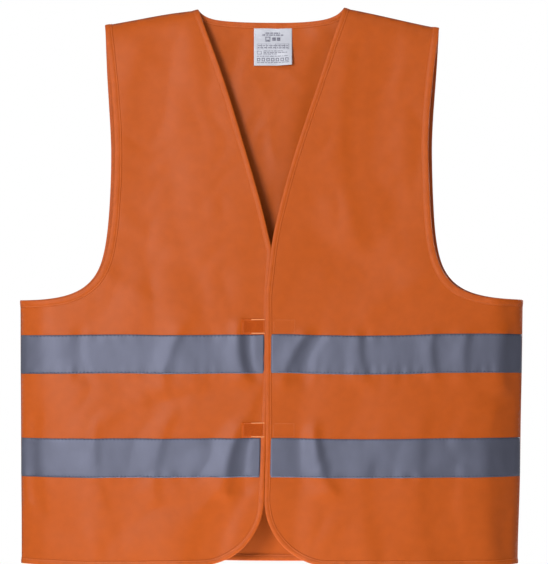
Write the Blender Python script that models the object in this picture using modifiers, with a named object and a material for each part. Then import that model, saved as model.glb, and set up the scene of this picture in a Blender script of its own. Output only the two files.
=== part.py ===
"""A high visibility vest: one back and two fronts of knitted polyester, sewn at the shoulders and sides.

The vest hangs upright. X runs across it, -Y is its front and +Z is up. The origin is the middle of the neck
opening, level with the tops of the shoulders, where a hanger or a neck holds the vest. "Right" and "left" are
the wearer's, so the right front is at -X. The two fronts meet edge to edge, a little right of the middle.
Each front folds open along a straight line from the neck to the hem, so it is cut there into a fixed part
and a flap. Bands, tape and stitching that cross the fold are cut with it.
"""

import math

import bmesh
import bpy
from mathutils import Matrix, Vector
from mathutils.geometry import intersect_point_line

# Body of the vest, in metres. Heights are negative, because the origin is at the top.
LENGTH = 0.720
CHEST_HALF = 0.325  # half the width under the arms
HEM_HALF = 0.321
UNDERARM_Z = -0.379
SHOULDER_DROP = 0.021
SHOULDER_HALF = 0.214
NECK_HALF = 0.094
BACK_NECK_Z = -0.0195
FRONT_ARMHOLE_INSET = 0.006  # the fronts are cut deeper at the arms than the back

# Where the fronts meet, and how their lower corners are rounded.
V_BOTTOM_X, V_BOTTOM_Z = -0.001, -0.316
CLOSURE_X = -0.007
CLOSURE_STRAIGHT_Z = -0.380
CORNER_RADIUS = 0.086
MEETING_GAP = 0.0006

# Layers.
CLOTH = 0.0005
GAP = 0.0003  # air between a layer and the next
TAPE = 0.0004  # one wall of the folded binding tape
TAPE_WIDTH = 0.0078
TAPE_LIFT = CLOTH / 2 + GAP + TAPE / 2  # from the middle of the cloth to the middle of the tape's wall
TAPE_OUTER = TAPE_LIFT + TAPE / 2
INSET = TAPE + GAP  # how far a bound edge of cloth lies inside the tape

# Shape that the vest hangs in. Front and back are each made of flat faces, and the cloth is the face
# nearest to the plane of the seams. A face beside a seam is (half depth at the seam, slope away from it).
SEAM_HALF = 0.0012  # half the distance between front and back cloth along a seam
TOP_DEPTH = 0.008
FLARE = 0.035  # extra half depth for each metre down the middle
SHOULDER_FACES = ((SEAM_HALF, 1.0), (0.004, 0.32))
SIDE_FACES = ((SEAM_HALF, 1.2), (0.005, 0.5), (0.014, 0.2))
RIDGE_Z = -(SEAM_HALF + TAPE_OUTER)  # middle of the fold over the shoulder, at the neck
SHOULDER_SLOPE = SHOULDER_DROP / (SHOULDER_HALF - NECK_HALF)
SIDE_SLOPE = (HEM_HALF - CHEST_HALF) / (LENGTH + UNDERARM_Z)

# Reflective bands, each a strip of standard width held by a row of stitches along both edges.
BAND_HEIGHT = 0.050
BAND_TOPS = {"upper": -0.424, "lower": -0.557}
BAND = 0.0003
BAND_LIFT = CLOTH / 2 + GAP + BAND / 2
THREAD = 0.0004
THREAD_WIDTH = 0.0008
THREAD_INSET = 0.002
THREAD_LIFT = BAND_LIFT + BAND / 2 + GAP + THREAD / 2

# Hook and loop fasteners, the care label and the seams.
PATCH_WIDTH, PATCH_HEIGHT, PATCH = 0.030, 0.020, 0.0010
PATCH_LIFT = CLOTH / 2 + GAP + PATCH / 2
PATCH_ON_TAPE_LIFT = TAPE_OUTER + GAP + PATCH / 2
LABEL_WIDTH, LABEL_LENGTH, LABEL = 0.0495, 0.048, 0.0003
LABEL_X = 0.002
SEAM_DEPTH = 0.006
SEAM_THICKNESS = 0.0013

# Fold of each front: it leaves the neck edge at FOLD_TOP_Z and reaches the hem at FOLD_BOTTOM_X.
FOLD_TOP_Z = -0.036
FOLD_BOTTOM_X = 0.200
FOLD_RADIUS = 0.004  # the cloth bends round a line this far in front of it

FRONT, BACK = -1, 1
RIGHT, LEFT = -1, 1
SIDE_NAMES = {RIGHT: "right", LEFT: "left"}

STEP = 0.016  # distance between points along a curved edge
CORNER_STEPS = 9

ORANGE = (0.578, 0.098, 0.017)
TAPE_ORANGE = (0.56, 0.10, 0.02)
SILVER = (0.23, 0.24, 0.32)
THREAD_GREY = (0.30, 0.31, 0.40)
WHITE = (0.62, 0.62, 0.66)


# --- Lines on the pattern, as (x, z) points ---------------------------------------------------------------


def bezier(p0, p1, p2, p3):
    """Points along a cubic curve, about STEP apart, with both ends."""
    p0, p1, p2, p3 = (Vector(p) for p in (p0, p1, p2, p3))
    length = (p1 - p0).length + (p2 - p1).length + (p3 - p2).length
    steps = max(2, round(length / STEP))
    found = []
    for i in range(steps + 1):
        t = i / steps
        s = 1 - t
        found.append(s**3 * p0 + 3 * s * s * t * p1 + 3 * s * t * t * p2 + t**3 * p3)
    return found


def joined(*lines):
    """Lines end to end, without the points that two of them share."""
    found = []
    for line in lines:
        found += [p for p in line if not found or (p - found[-1]).length > 1e-6]
    return found


def side_edge(z):
    """Half the width of the vest at a height below the arms."""
    return CHEST_HALF + SIDE_SLOPE * (UNDERARM_Z - z)


def ridge_z(x):
    """Height of the fold over the shoulder."""
    return RIDGE_Z - SHOULDER_SLOPE * (abs(x) - NECK_HALF)


def armhole(side, layer):
    """From the shoulder's tip down to the underarm."""
    inset = FRONT_ARMHOLE_INSET if layer == FRONT else 0
    tip = (SHOULDER_HALF, ridge_z(SHOULDER_HALF))
    middle = (0.209 - inset, -0.185)
    upper = bezier(tip, (0.213 - inset, -0.080), (0.209 - inset, -0.130), middle)
    under = (0.213 - inset, UNDERARM_Z - inset / 2)
    lower = bezier(middle, (0.211 - inset, -0.340), under, (CHEST_HALF, UNDERARM_Z))
    return [Vector((side * p.x, p.y)) for p in joined(upper, lower)]


def back_neck():
    """From the left neck point to the right one, along the back."""
    end = Vector((NECK_HALF, RIDGE_Z))
    half = bezier(end, (0.083, -0.0165), (0.060, BACK_NECK_Z), (0, BACK_NECK_Z))
    return joined(half, [Vector((-p.x, p.y)) for p in reversed(half)])


def neck_edge(side):
    """A front's sloping edge, from the neck point down to where the fronts meet."""
    bottom_x = V_BOTTOM_X + side * MEETING_GAP / 2
    return bezier(
        (side * NECK_HALF, RIDGE_Z),
        (side * 0.059, -0.103),
        (bottom_x + side * 0.008, -0.248),
        (bottom_x, V_BOTTOM_Z),
    )


def front_edge(side):
    """A front's whole free edge: neck, closure, round corner and hem, as far as the side seam."""
    shift = side * MEETING_GAP / 2
    x = CLOSURE_X + shift
    top = V_BOTTOM_X + shift
    bend = bezier((top, V_BOTTOM_Z), (top - 0.002, -0.337), (x, -0.358), (x, CLOSURE_STRAIGHT_Z))
    centre = Vector((x + side * CORNER_RADIUS, CORNER_RADIUS - LENGTH))
    turns = [math.pi / 2 * i / CORNER_STEPS for i in range(CORNER_STEPS + 1)]
    corner = [centre + CORNER_RADIUS * Vector((-side * math.cos(a), -math.sin(a))) for a in turns]
    return joined(neck_edge(side), bend, corner, [Vector((side * HEM_HALF, -LENGTH))])


def inward(line, index, turn):
    """Unit vector into the cloth at a point of its edge. turn is 1 if the cloth is left of the line.

    It is square to the line, except where the line starts or ends on a shoulder. It follows the ridge there.
    """
    before, after = line[max(index - 1, 0)], line[min(index + 1, len(line) - 1)]
    along = (after - before).normalized()
    square = Vector((-along.y, along.x)) * turn
    place = line[index]
    if abs(place.y - ridge_z(place.x)) > 1e-6:
        return square
    ridge = Vector((1, -math.copysign(SHOULDER_SLOPE, place.x))).normalized()
    return ridge if ridge.dot(square) > 0 else -ridge


def moved_in(line, distance, turn):
    return [p + inward(line, i, turn) * distance for i, p in enumerate(line)]


def fold_line(side):
    """(top point, direction down) of the line that a front folds along."""
    edge = neck_edge(side)
    below = next(i for i, p in enumerate(edge) if p.y < FOLD_TOP_Z)
    a, b = edge[below - 1], edge[below]
    top = a.lerp(b, (a.y - FOLD_TOP_Z) / (a.y - b.y))
    return top, (Vector((side * FOLD_BOTTOM_X, -LENGTH)) - top).normalized()


# --- The hanging shape --------------------------------------------------------------------------------------


def shape_faces():
    """The flat faces from the shoulder to the side seam.

    The half depth of a face (a, b, c) is a + b |x| + c z.
    """
    ridge = RIDGE_Z + SHOULDER_SLOPE * NECK_HALF
    edge = CHEST_HALF + SIDE_SLOPE * UNDERARM_Z
    found = [(depth + slope * ridge, -slope * SHOULDER_SLOPE, -slope) for depth, slope in SHOULDER_FACES]
    found.append((TOP_DEPTH, 0, -FLARE))
    for depth, slope in reversed(SIDE_FACES):
        found.append((depth + slope * edge, -slope, -slope * SIDE_SLOPE))
    return found


def half_depth(x, z):
    """Distance of the front or back cloth from the plane of the seams."""
    return min(a + b * abs(x) + c * z for a, b, c in shape_faces())


def on_cloth(x, z, layer, lift=0.0):
    """Point lift metres outside the middle of the front or back cloth."""
    tiny = 1e-5
    slope_x = (half_depth(x + tiny, z) - half_depth(x - tiny, z)) / (2 * tiny)
    slope_z = (half_depth(x, z + tiny) - half_depth(x, z - tiny)) / (2 * tiny)
    normal = Vector((-slope_x, layer, -slope_z)).normalized()
    return Vector((x, layer * half_depth(x, z), z)) + normal * lift


# --- Flat sheets --------------------------------------------------------------------------------------------


def filled(outline):
    """A flat sheet with this outline, in X and Z, as a bmesh."""
    curve = bpy.data.curves.new("outline", "CURVE")
    curve.dimensions = "2D"
    curve.fill_mode = "BOTH"
    spline = curve.splines.new("POLY")
    spline.points.add(len(outline) - 1)
    for point, place in zip(spline.points, outline):
        point.co = (place.x, place.y, 0, 1)
    spline.use_cyclic_u = True
    drawn = bpy.data.objects.new("outline", curve)
    mesh = bpy.data.meshes.new_from_object(drawn)
    bpy.data.objects.remove(drawn)
    bpy.data.curves.remove(curve)
    bm = bmesh.new()
    bm.from_mesh(mesh)
    bpy.data.meshes.remove(mesh)
    bmesh.ops.remove_doubles(bm, verts=bm.verts, dist=1e-6)
    for vertex in bm.verts:
        vertex.co = (vertex.co.x, 0, vertex.co.y)
    return bm


def cut(bm, point, normal, clear=False):
    parts = [*bm.verts, *bm.edges, *bm.faces]
    bmesh.ops.bisect_plane(bm, geom=parts, plane_co=point, plane_no=normal, clear_outer=clear, dist=1e-6)


def cut_at_fold(bm, side, keep_flap):
    """Cuts a flat sheet along a front's fold and keeps the flap or the rest."""
    top, down = fold_line(side)
    to_middle = Vector((down.y, -down.x)) * side
    away = -to_middle if keep_flap else to_middle
    point = top - away * GAP
    cut(bm, (point.x, 0, point.y), (away.x, 0, away.y), clear=True)


def cut_at_creases(bm):
    """Cuts a flat sheet where two faces of the hanging shape meet."""
    faces = shape_faces()
    for (a0, b0, c0), (a1, b1, c1) in zip(faces, faces[1:]):
        for side in (RIGHT, LEFT):
            normal = Vector((side * (b0 - b1), 0, c0 - c1))
            point = normal * (a1 - a0) / normal.length_squared
            cut(bm, point, normal)


def laid(bm, layer, lift):
    """Moves flat vertices onto the hanging shape."""
    for vertex in bm.verts:
        vertex.co = on_cloth(vertex.co.x, vertex.co.z, layer, lift)


# --- Building blocks ----------------------------------------------------------------------------------------


def material(name, colour, roughness, metallic=0.0):
    found = bpy.data.materials.get(name)
    if found:
        return found
    made = bpy.data.materials.new(name)
    made.use_nodes = True
    shader = made.node_tree.nodes["Principled BSDF"]
    shader.inputs["Base Color"].default_value = (*colour, 1)
    shader.inputs["Roughness"].default_value = roughness
    shader.inputs["Metallic"].default_value = metallic
    return made


def cloth_orange():
    return material("orange_knit", ORANGE, 0.75)


def binding_orange():
    return material("orange_binding", TAPE_ORANGE, 0.7)


def reflective_silver():
    return material("reflective_silver", SILVER, 0.4, 0.5)


def thread_grey():
    return material("thread_grey", THREAD_GREY, 0.6)


def add_hinge(name, place):
    """An empty on the line that moving pieces turn about."""
    hinge = bpy.data.objects.new(name, None)
    hinge.location = place
    bpy.data.collections["vest"].objects.link(hinge)


def turn_about(hinge_name, *piece_names):
    """Parents pieces to a hinge without moving them."""
    hinge = bpy.data.objects[hinge_name]
    for name in piece_names:
        piece = bpy.data.objects[name]
        piece.parent = hinge
        piece.matrix_parent_inverse = Matrix.Translation(-hinge.location)


def add_solid(name, bm, thickness, finish):
    """An open sheet made solid, half its thickness to each side."""
    bmesh.ops.recalc_face_normals(bm, faces=bm.faces)
    mesh = bpy.data.meshes.new(name)
    bm.to_mesh(mesh)
    bm.free()
    made = bpy.data.objects.new(name, mesh)
    bpy.data.collections["vest"].objects.link(made)
    made.data.materials.append(finish)
    solid = made.modifiers.new("thickness", "SOLIDIFY")
    solid.thickness = thickness
    solid.offset = 0
    solid.use_even_offset = True


def add_sheet(name, outline, layer, lift, thickness, finish, side=None, keep_flap=False):
    """A piece of cloth of this outline, laid on the front or back. With a side, it is cut at that fold."""
    bm = filled(outline)
    if side is not None:
        cut_at_fold(bm, side, keep_flap)
    cut_at_creases(bm)
    laid(bm, layer, lift)
    add_solid(name, bm, thickness, finish)


def rectangle(x0, x1, z0, z1):
    return [Vector(p) for p in ((x0, z0), (x1, z0), (x1, z1), (x0, z1))]


# --- Binding tape -------------------------------------------------------------------------------------------


def on_line(edge, line):
    """Whether the middle of a mesh edge lies on a line of the pattern."""
    middle = (edge.verts[0].co + edge.verts[1].co) / 2
    for a, b in zip(line, line[1:]):
        a3, b3 = Vector((a.x, 0, a.y)), Vector((b.x, 0, b.y))
        nearest, share = intersect_point_line(middle, a3, b3)
        if (nearest - middle).length < 1e-5 and 0 <= share <= 1:
            return True
    return False


def add_tape_walls(bm, line, layer, turn, side=None, keep_flap=False):
    """Tape folded over an edge: a wall on each face of the cloth and the fold between them."""
    fold = moved_in(line, TAPE / 2, turn)
    strip = filled(fold + moved_in(line, TAPE_WIDTH, turn)[::-1])
    if side is not None:
        cut_at_fold(strip, side, keep_flap)
    cut_at_creases(strip)
    outer = {v: bm.verts.new(on_cloth(v.co.x, v.co.z, layer, TAPE_LIFT)) for v in strip.verts}
    inner = {v: bm.verts.new(on_cloth(v.co.x, v.co.z, layer, -TAPE_LIFT)) for v in strip.verts}
    for face in strip.faces:
        bm.faces.new([outer[v] for v in face.verts])
        bm.faces.new([inner[v] for v in reversed(face.verts)])
    for edge in strip.edges:
        if edge.is_boundary and on_line(edge, fold):
            a, b = edge.verts
            bm.faces.new((outer[a], outer[b], inner[b], inner[a]))
    strip.free()


def tape_end(line, layer, turn):
    """The corners of the tape's section at the start of an edge."""
    fold, rim = (moved_in(line, distance, turn)[0] for distance in (TAPE / 2, TAPE_WIDTH))
    corners = ((rim, TAPE_LIFT), (fold, TAPE_LIFT), (fold, -TAPE_LIFT), (rim, -TAPE_LIFT))
    return [on_cloth(*place, layer, lift) for place, lift in corners]


def add_tape_over_shoulder(bm, front, back):
    """Joins the starts of two taped edges over the shoulder. Each is (line, turn)."""
    start, end = tape_end(front[0], FRONT, front[1]), tape_end(back[0], BACK, back[1])
    middle = []
    for a, b in zip(start, end):
        rise = abs(b.y - a.y) / 2 * math.tan(math.pi / 8)
        middle.append((a + b) / 2 + Vector((0, 0, rise)))
    rows = [[bm.verts.new(p) for p in row] for row in (start, middle, end)]
    for a, b in zip(rows, rows[1:]):
        for i in range(len(a) - 1):
            bm.faces.new((a[i], a[i + 1], b[i + 1], b[i]))


def add_tape(name, bm):
    bmesh.ops.remove_doubles(bm, verts=bm.verts, dist=1e-5)
    add_solid(name, bm, TAPE, binding_orange())


def add_armhole_binding(side):
    """One tape round the whole armhole."""
    bm = bmesh.new()
    front, back = armhole(side, FRONT), armhole(side, BACK)
    add_tape_walls(bm, front, FRONT, -side)
    add_tape_walls(bm, back, BACK, -side)
    add_tape_over_shoulder(bm, (front, -side), (back, -side))
    add_tape(SIDE_NAMES[side] + "_armhole_binding", bm)


def add_neck_binding():
    """The tape along the back of the neck, with the ends that come over the shoulders to the folds."""
    bm = bmesh.new()
    along_back = {LEFT: back_neck(), RIGHT: back_neck()[::-1]}
    add_tape_walls(bm, along_back[LEFT], BACK, 1)
    for side in (LEFT, RIGHT):
        stub = [p for p in neck_edge(side) if p.y > FOLD_TOP_Z - 2 * STEP]
        add_tape_walls(bm, stub, FRONT, side, side, False)
        add_tape_over_shoulder(bm, (stub, side), (along_back[side], side))
    add_tape("neck_binding", bm)


def add_front_bindings(side):
    """The tape on the flap's free edge, and the rest of the hem's tape as far as the side seam."""
    name = SIDE_NAMES[side]
    bm = bmesh.new()
    add_tape_walls(bm, front_edge(side), FRONT, side, side, True)
    add_tape(name + "_front_edge_binding", bm)
    bm = bmesh.new()
    hem = [Vector((side * x, -LENGTH)) for x in (FOLD_BOTTOM_X - STEP, HEM_HALF)]
    add_tape_walls(bm, hem, FRONT, side, side, False)
    add_tape(name + "_front_hem_binding", bm)


def add_back_hem_binding():
    bm = bmesh.new()
    add_tape_walls(bm, [Vector((x, -LENGTH)) for x in (-HEM_HALF, HEM_HALF)], BACK, 1)
    add_tape("back_hem_binding", bm)


# --- Panels -------------------------------------------------------------------------------------------------


def shoulder_line(neck_x, tip_x):
    """Top edge of a panel, from the neck's tape to the armhole's."""
    return [Vector((x, ridge_z(x) - GAP)) for x in (neck_x, tip_x)]


def add_back_panel():
    right, left = (moved_in(armhole(side, BACK), INSET, -side) for side in (RIGHT, LEFT))
    neck = moved_in(back_neck(), INSET, 1)
    z = INSET - LENGTH
    hem = [Vector((-side_edge(z), z)), Vector((side_edge(z), z))]
    left_top = shoulder_line(neck[0].x, left[0].x)
    right_top = shoulder_line(neck[-1].x, right[0].x)
    outline = joined(neck[1:-1], right_top, right[1:], hem, left[:0:-1], left_top[::-1])
    add_sheet("back_panel", outline, BACK, 0, CLOTH, cloth_orange())


def add_front_panel(side):
    name = SIDE_NAMES[side]
    arm = moved_in(armhole(side, FRONT), INSET, -side)
    edge = moved_in(front_edge(side), INSET, side)
    edge[-1] = Vector((side * side_edge(edge[-1].y), edge[-1].y))
    outline = joined(shoulder_line(edge[0].x, arm[0].x), arm[1:], edge[:0:-1])
    add_sheet(name + "_front_panel", outline, FRONT, 0, CLOTH, cloth_orange(), side, False)
    add_sheet(name + "_front_flap", outline, FRONT, 0, CLOTH, cloth_orange(), side, True)


# --- Reflective bands and their stitching -------------------------------------------------------------------


def stitch_outline(x0, x1, top):
    """Two rows of stitches, joined at x0: along the top edge of a band and along its lower edge."""
    high, low = top - THREAD_INSET, top - BAND_HEIGHT + THREAD_INSET
    end = x0 + math.copysign(THREAD_WIDTH, x1 - x0)
    corners = (
        (x1, high),
        (x0, high),
        (x0, low),
        (x1, low),
        (x1, low + THREAD_WIDTH),
        (end, low + THREAD_WIDTH),
        (end, high - THREAD_WIDTH),
        (x1, high - THREAD_WIDTH),
    )
    return [Vector(c) for c in corners]


def add_back_bands():
    for level, top in BAND_TOPS.items():
        half = side_edge(top - BAND_HEIGHT) - GAP
        outline = rectangle(-half, half, top, top - BAND_HEIGHT)
        add_sheet(f"back_{level}_band", outline, BACK, BAND_LIFT, BAND, reflective_silver())
        stitches = stitch_outline(THREAD_INSET - half, half - THREAD_INSET, top)
        add_sheet(f"back_{level}_band_stitching", stitches, BACK, THREAD_LIFT, THREAD, thread_grey())


def beside_front_edge(side):
    """Where bands and patches start, next to the tape of a front's edge."""
    return CLOSURE_X + side * (MEETING_GAP / 2 + TAPE_WIDTH + GAP)


def add_front_bands(side):
    near = beside_front_edge(side)
    for level, top in BAND_TOPS.items():
        far = side * (side_edge(top - BAND_HEIGHT) - GAP)
        outline = rectangle(near, far, top, top - BAND_HEIGHT)
        ends = (near + side * THREAD_INSET, far - side * THREAD_INSET)
        name = f"{SIDE_NAMES[side]}_front_{level}_band"
        for suffix, flap in (("", False), ("_flap", True)):
            add_sheet(name + suffix, outline, FRONT, BAND_LIFT, BAND, reflective_silver(), side, flap)
            stitches = stitch_outline(*(ends if flap else ends[::-1]), top)
            stitched = name + "_stitching" + suffix
            add_sheet(stitched, stitches, FRONT, THREAD_LIFT, THREAD, thread_grey(), side, flap)


# --- Fasteners, label and seams -----------------------------------------------------------------------------


def add_patches(side, kind, near, lift, finish):
    """Two hook or loop patches on a flap, each just above a band, from near away from the closure."""
    for level, band_top in BAND_TOPS.items():
        bottom = band_top + GAP
        outline = rectangle(near, near + side * PATCH_WIDTH, bottom, bottom + PATCH_HEIGHT)
        add_sheet(f"{level}_{kind}_patch", outline, FRONT, lift, PATCH, finish)


def add_label():
    """The care label hangs just under the neck's tape, in front of the back panel."""
    top = BACK_NECK_Z - TAPE_WIDTH - GAP
    bm = filled(rectangle(LABEL_X - LABEL_WIDTH / 2, LABEL_X + LABEL_WIDTH / 2, top, top - LABEL_LENGTH))
    y = half_depth(LABEL_X, top) - TAPE_OUTER - GAP - LABEL / 2
    bmesh.ops.translate(bm, verts=bm.verts, vec=(0, y, 0))
    add_solid("care_label", bm, LABEL, material("white_satin", WHITE, 0.45))
    add_hinge("label_hinge", (LABEL_X, y, top))
    turn_about("label_hinge", "care_label")


def add_seams(side):
    """Overlocked seam allowances, in the plane between the front and back cloth."""
    top = UNDERARM_Z - TAPE_WIDTH - GAP
    bottom = TAPE_WIDTH + GAP - LENGTH
    edge = [(side * side_edge(z), z) for z in (top, bottom)]
    edge += [(side * (side_edge(z) - SEAM_DEPTH), z) for z in (bottom, top)]
    add_seam(side, "side", edge)
    ends = (NECK_HALF + TAPE_WIDTH + GAP, SHOULDER_HALF - TAPE_WIDTH - GAP)
    ridge = [(side * x, ridge_z(x)) for x in ends]
    ridge += [(side * x, ridge_z(x) - SEAM_DEPTH) for x in ends[::-1]]
    add_seam(side, "shoulder", ridge)


def add_seam(side, place, corners):
    bm = filled([Vector(c) for c in corners])
    add_solid(f"{SIDE_NAMES[side]}_{place}_seam", bm, SEAM_THICKNESS, binding_orange())


# --- The vest -----------------------------------------------------------------------------------------------


def add_fold(side, *patches):
    """The line that a front's flap turns about, with everything on the flap."""
    name = SIDE_NAMES[side]
    top, _ = fold_line(side)
    add_hinge(name + "_fold", on_cloth(top.x, top.y, FRONT, FOLD_RADIUS))
    turn_about(name + "_fold", name + "_front_flap", name + "_front_edge_binding", *patches)
    for level in BAND_TOPS:
        band = f"{name}_front_{level}_band"
        turn_about(name + "_fold", band + "_flap", band + "_stitching_flap")


def clear_scene():
    for old in list(bpy.data.objects):
        bpy.data.objects.remove(old)
    bpy.context.scene.collection.children.link(bpy.data.collections.new("vest"))


def main():
    clear_scene()
    add_back_panel()
    add_back_bands()
    add_back_hem_binding()
    add_neck_binding()
    for side in (RIGHT, LEFT):
        add_front_panel(side)
        add_front_bindings(side)
        add_armhole_binding(side)
        add_front_bands(side)
        add_seams(side)
    on_tape = CLOSURE_X - MEETING_GAP - THREAD_WIDTH
    add_patches(RIGHT, "loop", on_tape, PATCH_ON_TAPE_LIFT, material("loop_orange", TAPE_ORANGE, 0.9))
    beside_tape = beside_front_edge(LEFT)
    add_patches(LEFT, "hook", beside_tape, -PATCH_LIFT, material("hook_orange", TAPE_ORANGE, 0.6))
    add_label()
    add_fold(RIGHT, "upper_loop_patch", "lower_loop_patch")
    add_fold(LEFT, "upper_hook_patch", "lower_hook_patch")


main()
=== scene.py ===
"""The look of a high visibility vest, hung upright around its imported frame.

X runs across the vest, -Y is its front and +Z is up. "Right" and "left" are the wearer's, so the right front
is at -X. Every sheet is drawn on a flat pattern in X and Z and then laid on the hanging shape.
"""

import math

import bpy
import numpy as np
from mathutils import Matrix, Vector
from mathutils.geometry import delaunay_2d_cdt


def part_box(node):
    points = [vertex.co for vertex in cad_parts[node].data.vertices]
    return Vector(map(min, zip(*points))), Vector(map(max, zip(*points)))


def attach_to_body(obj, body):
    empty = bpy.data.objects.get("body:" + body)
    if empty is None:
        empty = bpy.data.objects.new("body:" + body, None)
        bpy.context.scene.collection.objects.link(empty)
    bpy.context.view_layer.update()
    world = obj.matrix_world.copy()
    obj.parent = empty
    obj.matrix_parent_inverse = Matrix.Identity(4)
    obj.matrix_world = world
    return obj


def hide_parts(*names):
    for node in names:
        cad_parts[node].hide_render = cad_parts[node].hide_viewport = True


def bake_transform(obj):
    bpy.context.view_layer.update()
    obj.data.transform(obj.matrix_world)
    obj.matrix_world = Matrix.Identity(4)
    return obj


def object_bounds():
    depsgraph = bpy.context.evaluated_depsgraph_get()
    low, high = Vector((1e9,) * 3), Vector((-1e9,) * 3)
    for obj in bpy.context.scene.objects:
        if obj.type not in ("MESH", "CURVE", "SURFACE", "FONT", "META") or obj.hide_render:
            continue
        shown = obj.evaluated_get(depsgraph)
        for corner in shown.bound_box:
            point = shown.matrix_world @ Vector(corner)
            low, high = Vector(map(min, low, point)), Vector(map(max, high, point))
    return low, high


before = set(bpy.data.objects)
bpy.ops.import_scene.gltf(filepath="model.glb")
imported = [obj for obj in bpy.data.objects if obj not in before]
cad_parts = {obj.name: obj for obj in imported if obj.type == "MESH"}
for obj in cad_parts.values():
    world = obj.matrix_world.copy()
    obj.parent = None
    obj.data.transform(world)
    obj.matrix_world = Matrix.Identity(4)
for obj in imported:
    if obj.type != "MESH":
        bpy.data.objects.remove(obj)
cad_low, cad_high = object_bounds()

FRONT, BACK = -1, 1
RIGHT, LEFT = -1, 1
SIDE_NAMES = {RIGHT: "right", LEFT: "left"}
MM = 0.001

# Pattern of the vest, in metres, as the frame has it.
LENGTH = -cad_low.z
CHEST_HALF = 0.325
HEM_HALF = 0.321
UNDERARM_Z = -0.379
SHOULDER_HALF = 0.214
SHOULDER_DROP = 0.021
NECK_HALF = 0.094
BACK_NECK_Z = -0.0195
FRONT_ARMHOLE_INSET = 0.007
V_BOTTOM_X, V_BOTTOM_Z = -0.001, -0.316
CLOSURE_X = -0.0072
CLOSURE_STRAIGHT_Z = -0.380
CORNER_RADIUS = 0.086
UNDERLAP = 0.0045  # how far the right front lies under the left one, above the lower band

# Layers.
CLOTH = 0.5 * MM
TAPE_WIDTH = 7.6 * MM
ARMHOLE_TAPE_WIDTH = 9.2 * MM
HEM_TAPE_WIDTH = 8.8 * MM
INSET = 0.7 * MM
BAND_LIFT = 0.55 * MM
BAND_HEIGHT = 0.050
SEWN_IN = 1.7 * MM  # from a band's edge to its stitches
LABEL_TUCK = 1.2 * MM  # how far the care label goes up under the neck tape
BAND_TOPS = {level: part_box(f"back_{level}_band")[1].z for level in ("upper", "lower")}

# Threads. Each stitch has a length, a spacing and a radius.
TAPE_STITCH = (2.0 * MM, 2.7 * MM, 0.22 * MM)
BAND_STITCH = (2.3 * MM, 4.8 * MM, 0.55 * MM)
PATCH_STITCH = (1.7 * MM, 2.2 * MM, 0.24 * MM)
BAR_STITCH = (1.5 * MM, 1.0 * MM, 0.55 * MM)
STITCH_FROM_RIM = 1.6 * MM
OVERLOCK_RADIUS = 0.16 * MM
OVERLOCK_STEP = 0.9 * MM
SEAM_ALLOWANCE = 5.8 * MM

# Colours of the knit, the binding and the reflective bands.
ORANGE = (0.268, 0.049, 0.005)
BINDING = (0.268, 0.047, 0.003)
SILVER = (0.068, 0.072, 0.102)

# Hanging shape: flat faces with rounded creases between them.
SEAM_HALF = 0.5 * MM
RIDGE_Z = -2.1 * MM
TOP_DEPTH = 8 * MM
FLARE = 0.035
SHOULDER_FACES = ((SEAM_HALF, 1.0), (4 * MM, 0.32))
SIDE_FACES = ((SEAM_HALF, 1.2), (5 * MM, 0.5), (14 * MM, 0.2))
CREASE_ROUNDING = 1.2 * MM
SHOULDER_SLOPE = SHOULDER_DROP / (SHOULDER_HALF - NECK_HALF)
SIDE_SLOPE = (HEM_HALF - CHEST_HALF) / (LENGTH + UNDERARM_Z)

MEETING_LIFT = 1.3 * MM  # of the left front over the right one where they meet
BACK_RELIEF = 1.35  # the back's folds against the front's
BACK_DRAWN_IN = (5.5 * MM, 4.5 * MM)  # at the middle of the back, and how much more at its hem
PANEL_SPACING = 4 * MM  # between the points of a panel's mesh

# Studio. Each light has a name, a place, a point that it faces, a diameter and its watts.
LIGHTS = (
    ("key", (-1.15, -2.5, -0.05), (-0.05, 0, -0.38), 0.9, 97),
    ("top_fill", (0.3, -1.7, 1.5), (0, 0, -0.25), 1.0, 14),
    ("under_fill", (-0.05, -0.10, -1.10), (0, 0.02, -0.66), 0.35, 5.0),
    ("back_fill", (1.9, 2.0, 0.5), (0, 0, -0.38), 0.9, 105),
)
SHADE_DIRECTION = (0.80, -0.55, 0.25)
SHADE_STRENGTH = 0.09
FLOOR_RADIUS = 3.2
FLOOR_BELOW_HEM = 0.45
VIEW_HEIGHT = 0.7242
VIEW_CENTRE = (0.0033, -0.022, -0.3562)


# --- Pattern lines, as arrays of (x, z) ---


def bezier(p0, p1, p2, p3, step=3 * MM):
    p0, p1, p2, p3 = (np.array(p, float) for p in (p0, p1, p2, p3))
    length = sum(np.linalg.norm(b - a) for a, b in ((p0, p1), (p1, p2), (p2, p3)))
    t = np.linspace(0, 1, max(2, round(length / step)) + 1)[:, None]
    s = 1 - t
    return s**3 * p0 + 3 * s * s * t * p1 + 3 * s * t * t * p2 + t**3 * p3


def straight(a, b, step=3 * MM):
    a, b = np.array(a, float), np.array(b, float)
    count = max(1, round(np.linalg.norm(b - a) / step))
    return a + (b - a) * np.linspace(0, 1, count + 1)[:, None]


def joined(*lines):
    points = np.concatenate(lines)
    apart = np.linalg.norm(np.diff(points, axis=0), axis=1) > 1e-6
    return points[np.concatenate(([True], apart))]


def distances(line):
    """How far along the line each of its points is."""
    return np.concatenate(([0], np.cumsum(np.linalg.norm(np.diff(line, axis=0), axis=1))))


def mirrored(line, side):
    return line * (side, 1)


def ridge_z(x):
    return RIDGE_Z - SHOULDER_SLOPE * (np.abs(x) - NECK_HALF)


def side_edge(z):
    return CHEST_HALF + SIDE_SLOPE * (UNDERARM_Z - z)


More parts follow.
